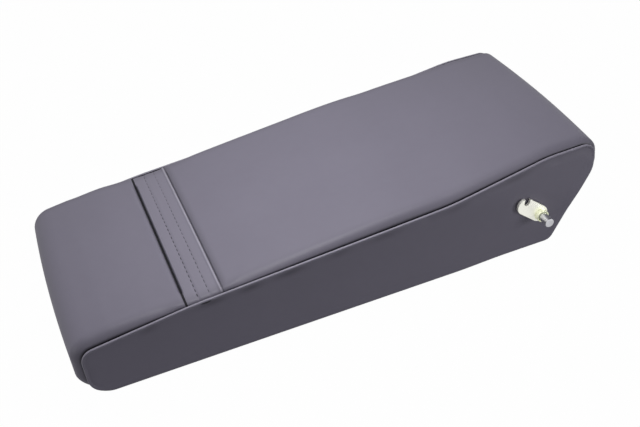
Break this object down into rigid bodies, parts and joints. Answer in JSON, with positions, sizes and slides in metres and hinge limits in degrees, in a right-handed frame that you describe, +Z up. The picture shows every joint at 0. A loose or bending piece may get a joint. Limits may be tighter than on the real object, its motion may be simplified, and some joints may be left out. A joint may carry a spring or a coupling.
{
  "type": "rear seat armrest",
  "caption": "Padded rear seat armrest of a car: wedge-shaped leather cushion with a stitched cross band, on a steel frame that swings on a hinge pin at each side of its rear end.",
  "frame": {"origin": "middle of the underside, where the armrest lies on a table", "axes": "+X from the free front end towards the hinged rear end, +Y across towards the side that the picture hides, +Z up"},
  "size_m": [0.4745, 0.236, 0.0926],
  "materials": {
    "leather": "satin",
    "foam": "matte",
    "frame_steel": "satin",
    "nylon": "matte",
    "zinc_plate": "satin",
    "pin_steel": "satin",
    "wire": "satin",
    "listing": "matte"
  },
  "bodies": {
    "armrest": {"front_cover": "leather", "stitched_band": "leather", "top_cover": "leather", "underside_cover": "leather", "side_cover_left": "leather", "side_cover_right": "leather", "foam_top": "foam", "foam_bottom": "foam", "frame_hoop": "frame_steel", "cross_bar": "frame_steel", "support_plate": "frame_steel", "hinge_bracket_left": "frame_steel", "hinge_bracket_right": "frame_steel", "bearing_sleeve_left": "frame_steel", "bearing_sleeve_right": "frame_steel", "pivot_bush_left": "nylon", "pivot_bush_right": "nylon", "tie_wire": "wire", "anchor_wire": "wire", "hog_ring_1": "wire", "hog_ring_2": "wire", "hog_ring_3": "wire", "hog_ring_4": "wire", "listing_strip": "listing"},
    "left_pin": {"hinge_pin_left": "pin_steel", "hinge_lug_left": "zinc_plate", "thrust_washer_left": "pin_steel", "circlip_left": "pin_steel"},
    "right_pin": {"hinge_pin_right": "pin_steel", "hinge_lug_right": "zinc_plate", "thrust_washer_right": "pin_steel", "circlip_right": "pin_steel"}
  },
  "joints": [
    {"name": "left_hinge", "type": "hinge", "parent": "armrest", "child": "left_pin", "pos_m": [0.1765, -0.1, 0.036], "axis": [0, 1, 0], "range_deg": [-105, 0]},
    {"name": "right_hinge", "type": "hinge", "parent": "armrest", "child": "right_pin", "pos_m": [0.1765, 0.1, 0.036], "axis": [0, 1, 0], "range_deg": [-105, 0]}
  ]
}
